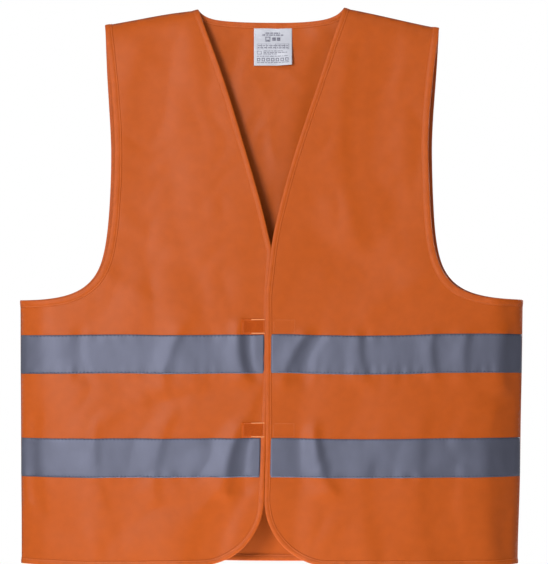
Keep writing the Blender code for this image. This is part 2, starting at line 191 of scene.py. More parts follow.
def armhole(side, layer):
    """From the shoulder's tip to the underarm."""
    inset = FRONT_ARMHOLE_INSET if layer == FRONT else 0
    tip = (SHOULDER_HALF, ridge_z(SHOULDER_HALF))
    middle = (0.209 - inset, -0.185)
    upper = bezier(tip, (0.213 - inset, -0.080), (0.209 - inset, -0.130), middle)
    under = (0.213 - inset, UNDERARM_Z - inset / 2)
    lower = bezier(middle, (0.211 - inset, -0.340), under, (CHEST_HALF, UNDERARM_Z))
    return mirrored(joined(upper, lower), side)


def back_neck():
    """From the left neck point to the right one."""
    half = bezier((NECK_HALF, RIDGE_Z), (0.083, -0.0165), (0.060, BACK_NECK_Z), (0, BACK_NECK_Z))
    return joined(half, mirrored(half[::-1], -1))


def front_edge(side):
    """From the neck point down the neck and the closure, and round the corner to the hem."""
    neck = bezier(
        (side * NECK_HALF, RIDGE_Z),
        (side * 0.059, -0.103),
        (V_BOTTOM_X + side * 0.008, -0.248),
        (V_BOTTOM_X, V_BOTTOM_Z),
    )
    bend = bezier(
        (V_BOTTOM_X, V_BOTTOM_Z),
        (V_BOTTOM_X - 0.002, -0.337),
        (CLOSURE_X, -0.358),
        (CLOSURE_X, CLOSURE_STRAIGHT_Z),
    )
    top = (CLOSURE_X, CORNER_RADIUS - LENGTH)
    closure = straight(bend[-1], top)
    turn = np.linspace(0, math.pi / 2, 45)[:, None]
    centre = np.array((CLOSURE_X + side * CORNER_RADIUS, CORNER_RADIUS - LENGTH))
    corner = centre + CORNER_RADIUS * np.hstack((-side * np.cos(turn), -np.sin(turn)))
    hem = straight(corner[-1], (side * HEM_HALF, -LENGTH))
    line = joined(neck, bend, closure, corner, hem)
    if side == RIGHT:
        line[:, 0] += UNDERLAP * under_left_front(line[:, 0], line[:, 1])
    return line


def under_left_front(x, z):
    """1 where the right front lies under the left one, falling to 0 above and below."""
    shown = smooth((z - V_BOTTOM_Z) / 0.08 + 0.6)
    low = smooth((-0.46 - z) / 0.13)
    beside = np.abs(x - CLOSURE_X) < 0.02
    return (1 - shown) * (1 - low) * beside


def inward(line, turn):
    """Unit vectors into the cloth along an edge. turn is 1 if the cloth is left of the line."""
    along = np.gradient(line, axis=0)
    along /= np.linalg.norm(along, axis=1)[:, None]
    into = np.column_stack((-along[:, 1], along[:, 0])) * turn
    for end in (0, -1):
        x, z = line[end]
        if abs(z - ridge_z(x)) < 1e-6:
            ridge = np.array((1, -math.copysign(SHOULDER_SLOPE, x)))
            ridge /= np.linalg.norm(ridge)
            into[end] = ridge if ridge @ into[end] > 0 else -ridge
    return into


# --- The hanging cloth ---


def smooth(t):
    t = np.clip(t, 0, 1)
    return t * t * (3 - 2 * t)


def soft_noise(x, z, size, seed, waves=7):
    """A smooth random field of about -1 to 1, whose bumps are about size metres across."""
    rng = np.random.default_rng(seed)
    total = np.zeros(np.broadcast(x, z).shape)
    for _ in range(waves):
        angle, phase = rng.uniform(0, 2 * math.pi, 2)
        turns = 2 * math.pi / (size * rng.uniform(1.4, 3.2))
        total += np.sin(turns * (x * math.cos(angle) + z * math.sin(angle)) + phase)
    return total / math.sqrt(waves * 1.6)


def shape_faces():
    """The flat faces of the hanging shape: the half depth of (a, b, c) is a + b |x| + c z."""
    ridge = RIDGE_Z + SHOULDER_SLOPE * NECK_HALF
    edge = CHEST_HALF + SIDE_SLOPE * UNDERARM_Z
    found = [(depth + slope * ridge, -slope * SHOULDER_SLOPE, -slope) for depth, slope in SHOULDER_FACES]
    found.append((TOP_DEPTH, 0, -FLARE))
    found += [(depth + slope * edge, -slope, -slope * SIDE_SLOPE) for depth, slope in SIDE_FACES]
    return found


def half_depth(x, z):
    """Distance of the cloth from the plane of the seams, with the creases rounded."""
    total = 0
    for a, b, c in shape_faces():
        total = total + np.exp(-(a + b * np.abs(x) + c * z) / CREASE_ROUNDING)
    return -CREASE_ROUNDING * np.log(total)


# Soft folds, in mm: (start x, start z, end x, end z, half width, height). A negative height is a valley.
FRONT_FOLDS = (
    (-41, -412, -34, -480, 7, 3.4),
    (-26, -415, -21, -478, 5, -1.8),
    (-42, -545, -58, -625, 8, 3.8),
    (-24, -545, -34, -620, 6, -2.0),
    (-60, -610, -120, -712, 15, 2.2),
    (-28, -620, -70, -712, 12, -2.0),
    (-322, -540, -314, -640, 7, 2.2),
    (-302, -535, -296, -650, 8, -1.8),
    (-118, -420, -140, -490, 9, 1.6),
    (-245, -425, -238, -480, 7, -1.1),
    (-132, -535, -150, -630, 9, 1.3),
    (-225, -540, -215, -640, 8, 0.9),
    (-8, -485, -30, -540, 6, 1.6),
    (-100, -490, -210, -530, 10, 0.9),
    (-50, -500, -150, -512, 9, -0.9),
    (-215, -345, -110, -400, 16, 1.5),
    (-170, -310, -60, -352, 14, -1.1),
    (-175, -60, -195, -280, 22, 1.4),
    (-125, -50, -135, -220, 18, -1.2),
    (42, -426, 14, -484, 8, 3.2),
    (62, -428, 40, -478, 8, -1.6),
    (112, -428, 118, -480, 8, 1.7),
    (205, -428, 208, -478, 7, 1.6),
    (250, -428, 246, -478, 8, 1.7),
    (300, -425, 298, -490, 9, 3.0),
    (320, -425, 317, -490, 7, -1.2),
    (56, -552, 76, -622, 9, 3.4),
    (40, -555, 50, -612, 9, -1.0),
    (195, -540, 198, -710, 14, 1.4),
    (285, -530, 290, -710, 11, 2.0),
    (235, -600, 245, -712, 12, -1.3),
    (120, -600, 126, -712, 14, 1.4),
    (98, -70, 106, -300, 12, 1.3),
    (150, -50, 175, -280, 20, -1.2),
    (215, -345, 120, -395, 16, 1.5),
    (60, -300, 160, -350, 16, -1.0),
)
BACK_FOLDS = (
    (-45, -50, -60, -300, 16, 1.2),
    (50, -60, 35, -330, 18, -1.2),
    (-130, -60, -150, -330, 22, 1.4),
    (140, -60, 150, -330, 22, 1.2),
    (-190, -400, -200, -710, 16, 2.4),
    (-110, -420, -95, -710, 18, 1.6),
    (170, -400, 190, -710, 16, 2.4),
    (90, -430, 80, -710, 18, 1.4),
    (20, -450, 0, -710, 18, 1.6),
    (-285, -400, -290, -710, 12, 2.0),
    (285, -400, 290, -710, 12, 2.0),
    (-215, -345, -100, -400, 16, 1.8),
    (215, -345, 110, -405, 16, 1.8),
    (-180, -320, 20, -352, 14, -0.9),
)


def fold_relief(x, z, folds):
    """Height of a set of soft folds, in metres."""
    total = np.zeros(np.broadcast(x, z).shape)
    for fold in folds:
        x0, z0, x1, z1, width, height = np.array(fold) * MM
        run = np.array((x1 - x0, z1 - z0))
        length = np.linalg.norm(run)
        along = ((x - x0) * run[0] + (z - z0) * run[1]) / length
        across = ((x - x0) * run[1] - (z - z0) * run[0]) / length
        bow = 0.06 * length * (1 - (2 * along / length - 1) ** 2)
        beyond = np.clip(-along, 0, None) + np.clip(along - length, 0, None)
        spread = width * (1 + 0.4 * np.clip(along / length, 0, 1)) * np.where(across > bow, 1.5, 0.8)
        total += height * np.exp(-((beyond / (1.3 * width)) ** 2) - ((across - bow) / spread) ** 2)
    return total


def crumple(x, z, size, seed):
    """Soft creases that wander: valleys of about -0.5 between rounded heights of about 1."""
    pushed_x = x + 0.5 * size * soft_noise(x, z, 1.6 * size, seed + 1)
    pushed_z = z + 0.5 * size * soft_noise(x, z, 1.6 * size, seed + 2)
    return np.sqrt(soft_noise(pushed_x, pushed_z, size, seed) ** 2 + 0.02) - 0.6


def seam_puckers(x, z):
    """Small ripples where stitching draws the cloth in, along both edges of the bands."""
    total = np.zeros(np.broadcast(x, z).shape)
    for i, top in enumerate(BAND_TOPS.values()):
        for j, line in enumerate((top - SEWN_IN, top - BAND_HEIGHT + SEWN_IN)):
            near = np.exp(-(((z - line) / 0.009) ** 2))
            ripple = soft_noise(x, z * 0.35, 0.0085, 40 + 2 * i + j)
            patchy = 0.35 + 0.65 * smooth(0.5 + soft_noise(x, z * 0, 0.05, 60 + 2 * i + j))
            total += 0.42 * MM * near * ripple * patchy
    return total


def relief(x, z, layer):
    """How far the cloth stands out from the plain hanging shape."""
    folds = fold_relief(x, z, FRONT_FOLDS if layer == FRONT else BACK_FOLDS)
    broad = 1.2 * MM * soft_noise(x, z * 0.6, 0.085, 11 + layer)
    creased = 1.3 * MM * crumple(x, z * 0.7, 0.075, 21 + layer) + 0.45 * MM * crumple(x, z, 0.03, 25 + layer)
    drape = 1.6 * MM * smooth((-0.35 - z) / 0.35) * soft_noise(x, z * 0.12, 0.06, 31 + layer)
    total = folds + broad + creased + drape + seam_puckers(x, z)
    if layer == BACK:
        total = BACK_RELIEF * total
    if layer == FRONT:
        near = np.exp(-(((x - CLOSURE_X) / 0.045) ** 2)) * smooth((V_BOTTOM_Z + 0.10 - z) / 0.1)
        total = total * (1 - 0.5 * near)
    return total * smooth(half_depth(x, z) / (7 * MM))


def meeting_lift(x, z, side):
    """The left front lies on the right one where they meet, and the right one is pressed in a little."""
    near = np.exp(-(((x - CLOSURE_X) / 0.030) ** 2)) * smooth((V_BOTTOM_Z + 0.09 - z) / 0.09)
    return near * (MEETING_LIFT if side == LEFT else -MEETING_LIFT)


def swayed(x, z):
    """Pattern places as they hang: the right-hand shoulder is lower, and no edge is quite straight."""
    shoulder = smooth((np.abs(x) - NECK_HALF) / 0.12) * smooth((z + 0.22) / 0.2)
    lowered = np.where(x > 0, 5.0 * MM, 1.4 * MM) * shoulder
    widened = np.where(x > 0, 2.6 * MM, -1.6 * MM) * shoulder
    low = smooth((-0.42 - z) / 0.3)
    lowered = lowered + 2.2 * MM * np.exp(-(((x + NECK_HALF) / 0.03) ** 2)) * smooth((z + 0.08) / 0.08)
    wave_x = 0.7 * MM * soft_noise(x, z, 0.09, 51) - 1.8 * MM * low
    wave_z = 0.8 * MM * soft_noise(x, z * 0.5, 0.10, 52) * smooth((-z - 0.03) / 0.1)
    return x + widened + wave_x, z - lowered + wave_z


def cloth_y(x, z, layer, side):
    """Distance out from the plane of the seams."""
    out = half_depth(x, z) + relief(x, z, layer)
    if layer == FRONT and side:
        out = out + meeting_lift(x, z, side)
    if layer == BACK:
        middle = np.exp(-((x / 0.11) ** 2)) * smooth((-z - 0.03) / 0.08)
        out = out - middle * (BACK_DRAWN_IN[0] + BACK_DRAWN_IN[1] * smooth((-0.45 - z) / 0.2))
    return np.maximum(out, 0.3 * MM)


def on_cloth(x, z, layer, side=0, lift=0.0):
    """(points, outward normals) of places lift metres outside the middle of the cloth."""
    x, z = np.broadcast_arrays(np.asarray(x, float), np.asarray(z, float))
    tiny = 0.2 * MM
    slope_x = (cloth_y(x + tiny, z, layer, side) - cloth_y(x - tiny, z, layer, side)) / (2 * tiny)
    slope_z = (cloth_y(x, z + tiny, layer, side) - cloth_y(x, z - tiny, layer, side)) / (2 * tiny)
    normals = np.stack((-slope_x, np.full(x.shape, float(layer)), -slope_z), axis=-1)
    normals /= np.linalg.norm(normals, axis=-1)[..., None]
    hung_x, hung_z = swayed(x, z)
    places = np.stack((hung_x, layer * cloth_y(x, z, layer, side), hung_z), axis=-1)
    return places + normals * np.asarray(lift)[..., None], normals


# --- Mesh helpers ---


def add_mesh(name, places, faces, finish, uvs=None):
    mesh = bpy.data.meshes.new(name)
    mesh.from_pydata([tuple(p) for p in np.reshape(places, (-1, 3))], [], faces)
    if uvs is not None:
        layer = mesh.uv_layers.new(name="pattern")
        corners = np.array([loop.vertex_index for loop in mesh.loops])
        layer.data.foreach_set("uv", np.asarray(uvs, float)[corners].ravel())
    mesh.validate()
    mesh.shade_smooth()
    made = bpy.data.objects.new(name, mesh)
    bpy.context.scene.collection.objects.link(made)
    mesh.materials.append(finish)
    return made


def thicken(piece, thickness):
    solid = piece.modifiers.new("thickness", "SOLIDIFY")
    solid.thickness = thickness
    solid.offset = 0
    return piece


def grid_faces(rows, columns, closed=False, flip=False):
    """Quads of a grid whose points are numbered row by row."""
    faces = []
    across = columns if closed else columns - 1
    for r in range(rows - 1):
        for c in range(across):
            d = (c + 1) % columns
            quad = (r * columns + c, r * columns + d, (r + 1) * columns + d, (r + 1) * columns + c)
            faces.append(quad[::-1] if flip else quad)
    return faces


def filled(outline, spacing):
    """(points, triangles) of an even mesh inside an outline."""
    low, high = outline.min(axis=0), outline.max(axis=0)
    columns = np.arange(low[0] + spacing / 2, high[0], spacing)
    rows = np.arange(low[1] + spacing / 2, high[1], spacing * 0.866)
    inner = [(x + spacing / 2 * (i % 2), z) for i, z in enumerate(rows) for x in columns]
    inner = np.array(inner)
    inner = inner[inside(inner, outline, spacing * 0.45)]
    points = [Vector(p) for p in np.concatenate((outline, inner))]
    rim = [list(range(len(outline)))]
    made, _, faces, *_ = delaunay_2d_cdt(points, [], rim, 1, 1e-7)
    return np.array([tuple(p) for p in made]), [tuple(f) for f in faces]


def inside(points, outline, margin):
    """Which points lie inside an outline, and at least margin from it."""
    found = np.zeros(len(points), bool)
    nearest = np.full(len(points), np.inf)
    for a, b in zip(outline, np.roll(outline, -1, axis=0)):
        run = b - a
        share = np.clip(((points - a) @ run) / max(run @ run, 1e-18), 0, 1)
        nearest = np.minimum(nearest, np.linalg.norm(points - a - share[:, None] * run, axis=1))
        spans = (a[1] > points[:, 1]) != (b[1] > points[:, 1])
        if not spans.any():
            continue
        crossing = a[0] + (points[:, 1] - a[1]) * run[0] / (run[1] if run[1] else 1e-18)
        found ^= spans & (points[:, 0] < crossing)
    return found & (nearest > margin)


def area_of(points, faces):
    a, b, c = (points[[f[i] for f in faces]] for i in range(3))
    return float(np.abs(np.cross(b - a, c - a)).sum() / 2)


# --- Materials ---


class Shader:
    """A Principled material with short ways to add nodes."""

    def __init__(self, name, colour, roughness, **values):
        self.material = bpy.data.materials.new(name)
        self.material.use_nodes = True
        self.tree = self.material.node_tree
        self.surface = self.tree.nodes["Principled BSDF"]
        self.surface.inputs["Base Color"].default_value = (*colour, 1)
        self.surface.inputs["Roughness"].default_value = roughness
        for socket, value in values.items():
            self.surface.inputs[socket.replace("_", " ")].default_value = value
        self.pattern = self.node("ShaderNodeUVMap")
        self.pattern.uv_map = "pattern"

    def node(self, kind, **values):
        made = self.tree.nodes.new(kind)
        for key, value in values.items():
            setattr(made, key, value)
        return made

    def link(self, source, target):
        self.tree.links.new(source, target)

    def scaled(self, x, y, turn=0.0):
        """The pattern's coordinates, times x and y."""
        mapping = self.node("ShaderNodeMapping")
        mapping.inputs["Scale"].default_value = (x, y, 1)
        mapping.inputs["Rotation"].default_value = (0, 0, turn)
        self.link(self.pattern.outputs["UV"], mapping.inputs["Vector"])
        return mapping.outputs["Vector"]

    def noise(self, size, detail=3.0, stretch=(1, 1)):
        made = self.node("ShaderNodeTexNoise")
        made.inputs["Scale"].default_value = 1
        made.inputs["Detail"].default_value = detail
        self.link(self.scaled(stretch[0] / size, stretch[1] / size), made.inputs["Vector"])
        return made.outputs["Fac"]

    def ribs(self, size, turn=0.0):
        """Parallel ridges, size metres from one to the next."""
        made = self.node("ShaderNodeTexWave")
        made.inputs["Scale"].default_value = 1
        turns = math.pi / (10 * size)
        self.link(self.scaled(turns, turns, turn), made.inputs["Vector"])
        return made.outputs["Fac"]

    def math(self, operation, a, b):
        made = self.node("ShaderNodeMath", operation=operation)
        for value, socket in ((a, made.inputs[0]), (b, made.inputs[1])):
            if isinstance(value, (int, float)):
                socket.default_value = value
            else:
                self.link(value, socket)
        return made.outputs[0]

    def bump(self, height, distance, strength=1.0):
        made = self.node("ShaderNodeBump")
        made.inputs["Distance"].default_value = distance
        made.inputs["Strength"].default_value = strength
        self.link(height, made.inputs["Height"])
        self.link(made.outputs["Normal"], self.surface.inputs["Normal"])

    def blend_colours(self, amount, dark, light):
        made = self.node("ShaderNodeValToRGB")
        made.color_ramp.elements[0].position = 0.3
        made.color_ramp.elements[1].position = 0.7
        made.color_ramp.elements[0].color = (*dark, 1)
        made.color_ramp.elements[1].color = (*light, 1)
        self.link(amount, made.inputs["Fac"])
        self.link(made.outputs["Color"], self.surface.inputs["Base Color"])


def times(colour, amount):
    return tuple(c * amount for c in colour)


def knit():
    """Warp-knitted polyester: fine upright wales crossed by finer courses."""
    made = Shader("vest_knit", ORANGE, 0.4, Specular_IOR_Level=0.085)
    wales = made.ribs(0.9 * MM)
    courses = made.ribs(0.7 * MM, math.pi / 2)
    weave = made.math("MULTIPLY", wales, courses)
    uneven = made.noise(0.012, 4)
    height = made.math("ADD", weave, made.math("MULTIPLY", made.noise(1.6 * MM), 0.6))
    made.bump(height, 0.09 * MM, 0.6)
    mottle = made.math("ADD", made.math("MULTIPLY", uneven, 0.7), made.math("MULTIPLY", weave, 0.3))
    made.blend_colours(mottle, times(ORANGE, 0.93), times(ORANGE, 1.05))
    return made.material


def binding_cloth():
    made = Shader("vest_binding", BINDING, 0.5, Specular_IOR_Level=0.13)
    cross_ribs = made.ribs(0.6 * MM)
    made.bump(made.math("ADD", cross_ribs, made.noise(2 * MM)), 0.07 * MM, 0.6)
    made.blend_colours(made.noise(0.008, 4), times(BINDING, 0.92), times(BINDING, 1.08))
    return made.material


def reflective():
    made = Shader("vest_reflective", SILVER, 0.6, Metallic=0.72)
    beads = made.noise(0.35 * MM, 2)
    rubbed = made.noise(0.02, 5, (1, 0.5))
    made.bump(made.math("ADD", beads, made.noise(3 * MM)), 0.05 * MM, 0.5)
    made.blend_colours(rubbed, times(SILVER, 0.94), times(SILVER, 1.06))
    return made.material


def thread(name, colour):
    made = Shader(name, colour, 0.5, Specular_IOR_Level=0.4)
    made.bump(made.ribs(0.25 * MM, 0.6), 0.03 * MM, 0.5)
    return made.material


def napped(name, colour):
    made = Shader(name, colour, 0.9, Specular_IOR_Level=0.1)
    made.bump(made.noise(0.6 * MM, 5), 0.3 * MM, 0.9)
    made.blend_colours(made.noise(1.2 * MM, 4), times(colour, 0.85), times(colour, 1.12))
    return made.material


def satin():
    made = Shader("label_satin", (0.27, 0.275, 0.31), 0.42, Specular_IOR_Level=0.5)
    made.bump(made.math("ADD", made.ribs(0.3 * MM, math.pi / 2), made.noise(4 * MM)), 0.03 * MM, 0.5)
    made.blend_colours(made.noise(0.01), (0.26, 0.265, 0.30), (0.28, 0.285, 0.32))
    return made.material


def ink():
    return Shader("label_ink", (0.10, 0.10, 0.13), 0.6).material


FINISHES = {
    "knit": knit(),
    "binding": binding_cloth(),
    "silver": reflective(),
    # The orange thread is lighter than the tape: partly the thread's own colour, partly a painted highlight
    # along the stitch lines.
    "orange_thread": thread("vest_orange_thread", (0.36, 0.085, 0.02)),
    # The bar thread is paler still: partly the thread's own colour, partly a painted highlight along the top
    # and bottom of a patch.
    "bar_thread": thread("fastener_bar_thread", (0.52, 0.20, 0.075)),
    "grey_thread": thread("vest_grey_thread", (0.02, 0.022, 0.05)),
    "loops": napped("fastener_loops", (0.28, 0.046, 0.004)),
    "hooks": thread("fastener_hooks", (0.25, 0.034, 0.004)),
    "satin": satin(),
    "ink": ink(),
}


# --- Placing pieces ---


def on_front(piece, side, slot, *nodes):
    """A piece on a front, with its place baked into its mesh and the frame's parts that it stands for hidden.
    """
    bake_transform(piece)
    if nodes:
        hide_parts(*nodes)
    return piece


def on_body(piece, body, slot, *nodes):
    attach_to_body(piece, body)
    if nodes:
        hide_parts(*nodes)
    return piece


# --- Panels ---

def panel(name, outline, layer, side):
    flat, faces = filled(outline, PANEL_SPACING)
    places, _ = on_cloth(flat[:, 0], flat[:, 1], layer, side)
    if layer == FRONT:
        faces = [f[::-1] for f in faces]
    made = thicken(add_mesh(name, places, faces, FINISHES["knit"], flat), CLOTH)
    size = outline.max(axis=0) - outline.min(axis=0)
    return made, tuple(float(s) for s in size), area_of(flat, faces)


def edge_inset(line, turn):
    return line + inward(line, turn) * INSET


def back_outline():
    right, left = (edge_inset(armhole(side, BACK), -side) for side in (RIGHT, LEFT))
    neck = edge_inset(back_neck(), 1)
    z = INSET - LENGTH
    hem = straight((-side_edge(z), z), (side_edge(z), z), PANEL_SPACING)
    left_side = straight(hem[-1], left[-1], PANEL_SPACING)
    right_side = straight(right[-1], hem[0], PANEL_SPACING)
    left_top = straight(left[0], neck[0], PANEL_SPACING)
    right_top = straight(neck[-1], right[0], PANEL_SPACING)
    return joined(neck, right_top, right, right_side, hem, left_side, left[::-1], left_top)[:-1]


def front_outline(side):
    arm = edge_inset(armhole(side, FRONT), -side)
    edge = edge_inset(front_edge(side), side)
    edge[-1] = (side * side_edge(edge[-1][1]), edge[-1][1])
    seam = straight(arm[-1], edge[-1], PANEL_SPACING)
    top = straight(edge[0], arm[0], PANEL_SPACING)
    return joined(top, arm, seam, edge[::-1])[:-1]


def add_panels():
    made = {}
    piece, flat, area = panel("back_cloth", back_outline(), BACK, 0)
    on_body(piece, "vest", "orange_knit", "back_panel")
    made[BACK] = (piece, flat, area)
    for side in (RIGHT, LEFT):
        name = SIDE_NAMES[side]
        piece, flat, area = panel(name + "_front_cloth", front_outline(side), FRONT, side)
        on_front(piece, side, "orange_knit", name + "_front_panel", name + "_front_flap")
        made[name] = (piece, flat, area)
    return made


# --- Stitches ---


def add_threads(name, points, uvs, sides, finish):
    """Many like threads in one mesh, each made of rings that have one corner for each of its sides. points
    holds, for each corner in turn, that corner's places on all the threads."""
    count = len(points)
    template = grid_faces(count // sides, sides, closed=True)
    template += [tuple(range(sides))[::-1], tuple(range(count - sides, count))]
    faces = [tuple(i + s * count for i in face) for s in range(len(points[0])) for face in template]
    return add_mesh(name, np.stack(points, axis=1), faces, finish, np.stack(uvs, axis=1).reshape(-1, 2))


def stitch_mesh(name, places, normals, finish, stitch=TAPE_STITCH):
    """A row of stitches along a line of places: short threads that dip into the cloth at both ends."""
    length, every, radius = stitch
    run = distances(places)
    middles = np.arange(every, run[-1] - every, every)

    def at(values, distance):
        return np.stack([np.interp(distance, run, values[:, i]) for i in range(3)], axis=1)

    centre, up = at(places, middles), at(normals, middles)
    along = at(places, middles + length / 2) - at(places, middles - length / 2)
    along /= np.linalg.norm(along, axis=1)[:, None]
    up /= np.linalg.norm(up, axis=1)[:, None]
    beside = np.cross(along, up)
    rings = ((-0.5, 0.45, -0.8), (-0.28, 1.0, 0.3), (0.28, 1.0, 0.3), (0.5, 0.45, -0.8))
    sides = 6
    points, uvs = [], []
    for share, width, rise in rings:
        for i in range(sides):
            turn = 2 * math.pi * i / sides
            out = radius * (rise + width * math.sin(turn))
            across = radius * width * math.cos(turn)
            points.append(centre + along * length * share + up * out + beside * across)
            uvs.append(np.column_stack((middles + length * share, np.full(len(middles), i * radius))))
    return add_threads(name, points, uvs, sides, finish)


# --- Binding tape ---

def tape_section(rim):
    """The folded tape's section: (distance in from the edge, distance out from the middle of the cloth)."""
    outer = [(rim + 0.1 * MM, 0.27 * MM), (rim - 0.1 * MM, 0.50 * MM), (rim - 0.7 * MM, 0.74 * MM)]
    outer += [(rim - STITCH_FROM_RIM, 0.46 * MM), (rim - 2.5 * MM, 0.85 * MM), (rim - 3.6 * MM, 1.06 * MM)]
    outer += [(2.4 * MM, 1.08 * MM), (1.1 * MM, 0.96 * MM)]
    for i in range(1, 4):
        turn = math.pi / 2 * i / 4
        outer.append((0.9 * MM * (1 - math.sin(turn)), 0.9 * MM * math.cos(turn)))
    under = [(d, -lift) for d, lift in reversed(outer)]
    face = 0.26 * MM
    core = [(rim - 0.3 * MM, -face), (1.0 * MM, -face), (1.0 * MM, face), (rim - 0.3 * MM, face)]
    return np.array(outer + [(0, 0)] + under + core)


def tape_rows(line, turn, layer, side, seed, width=TAPE_WIDTH):
    """Rows of the tape's section, and the lines that its stitches follow on both faces."""
    into = inward(line, turn)
    run = distances(line)
    swell = 1 + 0.13 * soft_noise(run, run * 0, 0.009, seed) + 0.08 * soft_noise(run, run * 0, 0.03, seed + 1)
    wander = 0.25 * MM * soft_noise(run, run * 0, 0.02, seed + 2)
    rows = []
    for depth, lift in tape_section(width):
        flat = line + into * (depth + wander * depth / width)[:, None]
        rows.append(on_cloth(flat[:, 0], flat[:, 1], layer, side, lift * swell)[0])
    stitches = []
    for face in (1, -1):
        flat = line + into * (width - STITCH_FROM_RIM + wander)[:, None]
        places, normals = on_cloth(flat[:, 0], flat[:, 1], layer, side, face * 0.55 * MM * swell)
        stitches.append((places, normals * face))
    return np.stack(rows, axis=1), stitches


def over_shoulder(start, end):
    """Rows between two tape ends, over the ridge of the shoulder. Both ends are (rows of) one section."""
    rows = []
    for i in range(1, 6):
        share = i / 6
        bow = math.sin(math.pi * share) * 0.42
        rise = np.abs(end[:, 1] - start[:, 1]) / 2 * bow
        row = start * (1 - share) + end * share
        row[:, 2] += rise
        rows.append(row)
    return np.array(rows)


def tape_object(name, rows):
    count = len(rows)
    across = rows.shape[1]
    run, girth = distances(rows.mean(axis=1)), distances(rows[0])
    uvs = np.stack(np.broadcast_arrays(run[:, None], girth[None, :]), axis=-1).reshape(-1, 2)
    faces = grid_faces(count, across, closed=True)
    last = (count - 1) * across
    faces += [tuple(range(across))[::-1], tuple(range(last, last + across))]
    return add_mesh(name, rows, faces, FINISHES["binding"], uvs)


def add_stitched(name, lines, attach, where):
    """Both faces' rows of stitches. attach is on_body or on_front, and where is its body or side."""
    for face, (places, normals) in zip(("outer", "inner"), lines):
        row = stitch_mesh(f"{name}_{face}_stitches", places, normals, FINISHES["orange_thread"])
        attach(row, where, "orange_binding")


def add_front_tape(side):
    """The tape along a front's edge. Returns its section at the neck point, where the neck's tape goes on."""
    name = SIDE_NAMES[side]
    rows, stitches = tape_rows(front_edge(side), side, FRONT, side, 100 + side)
    piece = tape_object(name + "_front_tape", rows)
    on_front(piece, side, "orange_binding", name + "_front_edge_binding", name + "_front_hem_binding")
    add_stitched(name + "_front_tape", stitches, on_front, side)
    return rows[0]


def add_neck_tape(front_ends):
    line = back_neck()
    rows, stitches = tape_rows(line, 1, BACK, 0, 120)
    start = over_shoulder(front_ends[LEFT], rows[0])
    end = over_shoulder(rows[-1], front_ends[RIGHT])
    piece = tape_object("neck_tape", np.concatenate((start, rows, end)))
    on_body(piece, "vest", "orange_binding", "neck_binding")
    add_stitched("neck_tape", stitches, on_body, "vest")


def add_armhole_tape(side):
    name = SIDE_NAMES[side] + "_armhole_tape"
    front, front_stitches = tape_rows(armhole(side, FRONT), -side, FRONT, 0, 140 + side, ARMHOLE_TAPE_WIDTH)
    back, back_stitches = tape_rows(armhole(side, BACK), -side, BACK, 0, 150 + side, ARMHOLE_TAPE_WIDTH)
    rows = np.concatenate((front[::-1], over_shoulder(front[0], back[0]), back))
    piece = tape_object(name, rows)
    on_body(piece, "vest", "orange_binding", SIDE_NAMES[side] + "_armhole_binding")
    for part, stitches in (("front", front_stitches), ("back", back_stitches)):
        add_stitched(f"{name}_{part}", stitches, on_body, "vest")


def add_back_hem_tape():
    line = straight((-HEM_HALF, -LENGTH), (HEM_HALF, -LENGTH))
    rows, stitches = tape_rows(line, 1, BACK, 0, 160, HEM_TAPE_WIDTH)
    piece = tape_object("back_hem_tape", rows)
    on_body(piece, "vest", "orange_binding", "back_hem_binding")
    add_stitched("back_hem_tape", stitches, on_body, "vest")


def add_tapes():
    front_ends = {}
    for side in (RIGHT, LEFT):
        front_ends[side] = add_front_tape(side)
        add_armhole_tape(side)
    add_neck_tape(front_ends)
    add_back_hem_tape()


# --- Reflective bands ---


def band_grid(near, far, top):
    """Pattern points of a band, a little uneven along its edges."""
    columns = np.linspace(near, far, max(2, round(abs(far - near) / (2.2 * MM))) + 1)
    rows = np.linspace(0, BAND_HEIGHT, 26)
    x, drop = np.meshgrid(columns, rows)
    edge = 0.35 * MM * soft_noise(columns, columns * 0, 0.03, int(1000 * abs(top)))
    z = top - drop + edge[None, :]
    return x, z, drop


def add_band(name, near, far, top, side, nodes):
    """A band with its two rows of stitches. side is 0 on the back."""
    layer, attach, where = (FRONT, on_front, side) if side else (BACK, on_body, "vest")
    x, z, drop = band_grid(near, far, top)
    tuck = np.minimum(drop, BAND_HEIGHT - drop) / SEWN_IN
    sewn = np.exp(-((tuck - 1) ** 2) * 4)
    lift = BAND_LIFT - 0.1 * MM * (1 - smooth(tuck)) + 0.12 * MM * smooth(tuck - 1) - 0.1 * MM * sewn
    places, _ = on_cloth(x, z, layer, side, lift)
    rows, columns = x.shape
    uvs = np.stack((x, z), axis=-1).reshape(-1, 2)
    flip = (layer == BACK) == (far > near)
    faces = grid_faces(rows, columns, flip=flip)
    made = thicken(add_mesh(name, places, faces, FINISHES["silver"], uvs), 0.3 * MM)
    attach(made, where, "reflective_silver", *[n for n in nodes if "stitching" not in n])
    stitched = []
    for i, distance in enumerate((SEWN_IN, BAND_HEIGHT - SEWN_IN)):
        along = x[0][3:-3]
        wander = 0.2 * MM * soft_noise(along, along * 0, 0.03, 7 + i)
        line, normals = on_cloth(along, top - distance + wander, layer, side, BAND_LIFT + 0.12 * MM)
        row = stitch_mesh(f"{name}_stitches_{i}", line, normals, FINISHES["grey_thread"], BAND_STITCH)
        attach(row, where, "thread_grey", *[n for n in nodes if "stitching" in n and i == 0])
        stitched.append(row)
    return [made, *stitched]


